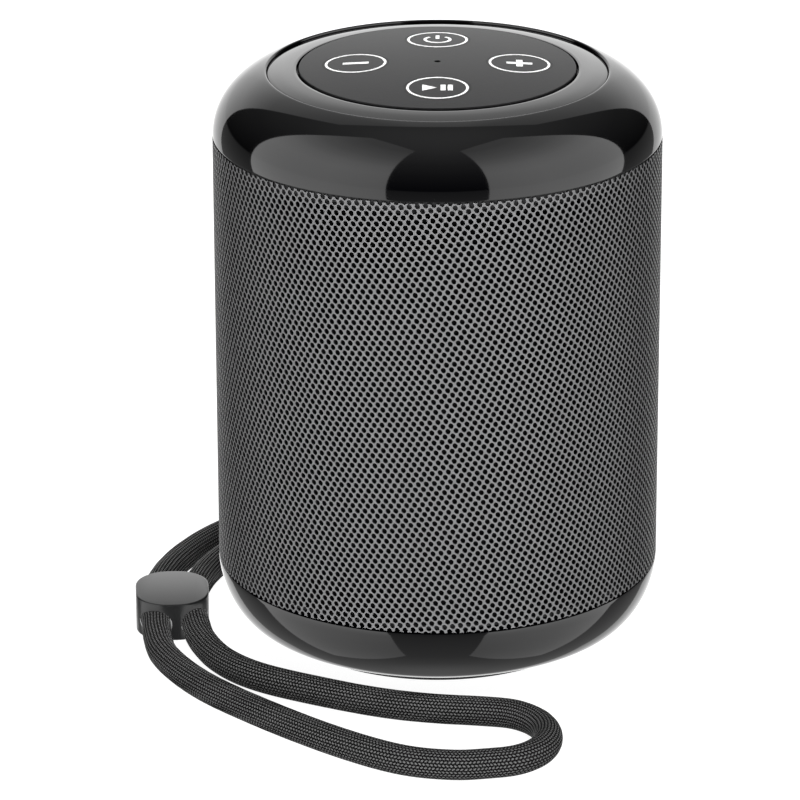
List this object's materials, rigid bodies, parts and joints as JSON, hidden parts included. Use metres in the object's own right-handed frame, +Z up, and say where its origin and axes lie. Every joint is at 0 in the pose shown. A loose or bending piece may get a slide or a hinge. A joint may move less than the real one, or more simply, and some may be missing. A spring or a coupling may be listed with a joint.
{
  "type": "portable speaker",
  "caption": "Small cylindrical wireless speaker with a perforated metal grille, gloss end shells, a flush key pad and a braided wrist strap with a sliding lock.",
  "frame": {"origin": "on the speaker's own axis, at the plane of the foot ring's underside", "axes": "+Z up along the cylinder, towards the key pad; -Y is the front, where the driver and the play key are; +X to the right of a person facing the front"},
  "size_m": [0.1008, 0.1335, 0.1122],
  "materials": {
    "gloss_shell": "high-gloss piano black, moulded",
    "soft_touch": "matte soft-touch silicone, fine grain, white legends",
    "grille_metal": "perforated steel sheet, satin dark grey powder coat",
    "dust_cloth": "fine black acoustic cloth",
    "dark_plastic": "matte black ABS, fine spark-eroded grain",
    "strap_plastic": "matte dark grey ABS",
    "seal_rubber": "matte black rubber",
    "cord_braid": "braided black polyester over a limp core",
    "pressed_steel": "pressed steel, black e-coat",
    "plated_steel": "zinc-plated or nickel-plated steel",
    "screw_steel": "black-zinc steel",
    "magnet": "sintered ferrite, dull dark grey",
    "paper_cone": "treated black paper pulp",
    "spider_cloth": "resin-stiffened woven cotton",
    "coil_copper": "enamelled copper wire on a former",
    "battery_wrap": "lithium cell in a blue shrink wrap",
    "circuit_board": "green glass-epoxy circuit board",
    "switch_metal": "tact switch with a pressed metal cover"
  },
  "bodies": {
    "speaker": {"top_shell": "gloss_shell", "bottom_shell": "gloss_shell", "bezel_ring": "gloss_shell", "control_pad": "soft_touch", "grille": "grille_metal", "dust_cloth": "dust_cloth", "chassis": "dark_plastic", "enclosure_lid": "dark_plastic", "battery_holder": "dark_plastic", "port_frame": "dark_plastic", "radiator_frame": "dark_plastic", "aux_socket": "dark_plastic", "lid_gasket": "seal_rubber", "bottom_seal": "seal_rubber", "driver_gasket": "seal_rubber", "foot_ring": "seal_rubber", "driver_surround": "seal_rubber", "radiator_surround": "seal_rubber", "driver_basket": "pressed_steel", "driver_front_plate": "plated_steel", "driver_yoke": "plated_steel", "strap_pin": "plated_steel", "usb_socket": "plated_steel", "microphone": "plated_steel", "driver_screw_1": "screw_steel", "driver_screw_2": "screw_steel", "driver_screw_3": "screw_steel", "driver_screw_4": "screw_steel", "bottom_screw_1": "screw_steel", "bottom_screw_2": "screw_steel", "bottom_screw_3": "screw_steel", "bottom_screw_4": "screw_steel", "top_screw_1": "screw_steel", "top_screw_2": "screw_steel", "top_screw_3": "screw_steel", "key_board_screw_1": "screw_steel", "key_board_screw_2": "screw_steel", "driver_magnet": "magnet", "spider": "spider_cloth", "battery": "battery_wrap", "main_board": "circuit_board", "key_board": "circuit_board", "port_board": "circuit_board", "tact_switch_power": "switch_metal", "tact_switch_minus": "switch_metal", "tact_switch_plus": "switch_metal", "tact_switch_play": "switch_metal"},
    "power_key": {"key_power": "soft_touch"},
    "minus_key": {"key_minus": "soft_touch"},
    "plus_key": {"key_plus": "soft_touch"},
    "play_key": {"key_play": "soft_touch"},
    "cone_assembly": {"driver_cone": "paper_cone", "dust_cap": "paper_cone", "voice_coil": "coil_copper"},
    "radiator_weight": {"radiator_plate": "plated_steel"},
    "cover": {"port_cover": "seal_rubber"},
    "strap": {"strap_clamp": "strap_plastic", "strap_cord": "cord_braid"},
    "slider": {"cord_slider": "strap_plastic"}
  },
  "joints": [
    {"name": "power_press", "type": "slide", "parent": "speaker", "child": "power_key", "axis": [0, 0, -1], "range_m": [0, 0.0005], "stiffness_N_per_m": 2500, "springref_m": -0.0001},
    {"name": "minus_press", "type": "slide", "parent": "speaker", "child": "minus_key", "axis": [0, 0, -1], "range_m": [0, 0.0005], "stiffness_N_per_m": 2500, "springref_m": -0.0001},
    {"name": "plus_press", "type": "slide", "parent": "speaker", "child": "plus_key", "axis": [0, 0, -1], "range_m": [0, 0.0005], "stiffness_N_per_m": 2500, "springref_m": -0.0001},
    {"name": "play_press", "type": "slide", "parent": "speaker", "child": "play_key", "axis": [0, 0, -1], "range_m": [0, 0.0005], "stiffness_N_per_m": 2500, "springref_m": -0.0001},
    {"name": "cone_travel", "type": "slide", "parent": "speaker", "child": "cone_assembly", "axis": [0, -1, 0], "range_m": [-0.0015, 0.0015], "stiffness_N_per_m": 1500, "deforming": ["driver_surround", "spider"]},
    {"name": "radiator_travel", "type": "slide", "parent": "speaker", "child": "radiator_weight", "axis": [0, 1, 0], "range_m": [-0.002, 0.002], "stiffness_N_per_m": 1200, "deforming": ["radiator_surround"]},
    {"name": "cover_hinge", "type": "hinge", "parent": "speaker", "child": "cover", "pos_m": [-0.01196, 0.03911, 0.0259], "axis": [0, 0, 1], "range_deg": [0, 100]},
    {"name": "strap_swing", "type": "hinge", "parent": "speaker", "child": "strap", "pos_m": [-0.00445, 0.03623, 0.0045], "axis": [0, 0, 1], "range_deg": [-40, 0]},
    {"name": "slider_travel", "type": "hinge", "parent": "strap", "child": "slider", "pos_m": [0, 0, 0.0038], "axis": [0, 0, 1], "range_deg": [-55, 0]}
  ]
}
